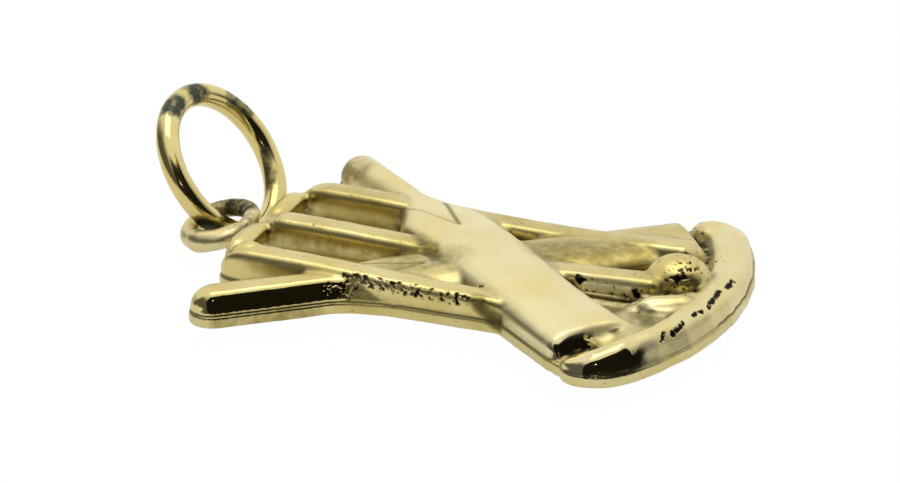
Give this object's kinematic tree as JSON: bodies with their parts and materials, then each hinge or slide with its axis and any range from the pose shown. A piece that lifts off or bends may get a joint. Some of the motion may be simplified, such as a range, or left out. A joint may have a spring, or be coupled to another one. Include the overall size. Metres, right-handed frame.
{
  "type": "cricket charm",
  "caption": "Gold charm of crossed cricket bats on a wicket with bails, a ball and a curved strip of ground, hung from a loose jump ring on a small wire eye.",
  "frame": {"origin": "on the flat back of the plate, straight under the crossing of the two bats", "axes": "+X to the right of the face, +Y along the middle stump towards the hanging eye, +Z out of the face"},
  "size_m": [0.015, 0.0241, 0.0057],
  "materials": {
    "cast_gold": "polished cast gold with tarnish in the pits and recesses",
    "satin_gold": "satin gold worn smooth by handling",
    "plate_gold": "dull gold, grainy between the bars",
    "wire_gold": "polished drawn wire with dull patches"
  },
  "bodies": {
    "charm": {"back_plate": "plate_gold", "left_stump": "cast_gold", "middle_stump": "cast_gold", "right_stump": "cast_gold", "rear_bat_handle": "cast_gold", "rear_bat_blade": "satin_gold", "front_bat_handle": "cast_gold", "front_bat_blade": "satin_gold", "left_bail": "cast_gold", "right_bail": "cast_gold", "ground_rim": "cast_gold", "ball": "cast_gold", "hanging_eye": "wire_gold"},
    "ring": {"jump_ring": "wire_gold"}
  },
  "joints": [
    {"name": "ring_swing", "type": "hinge", "parent": "charm", "child": "ring", "pos_m": [0.00148, 0.01164, 0.00086], "axis": [-0.2566, 0.9345, -0.2466], "range_deg": [-5, 65]}
  ]
}
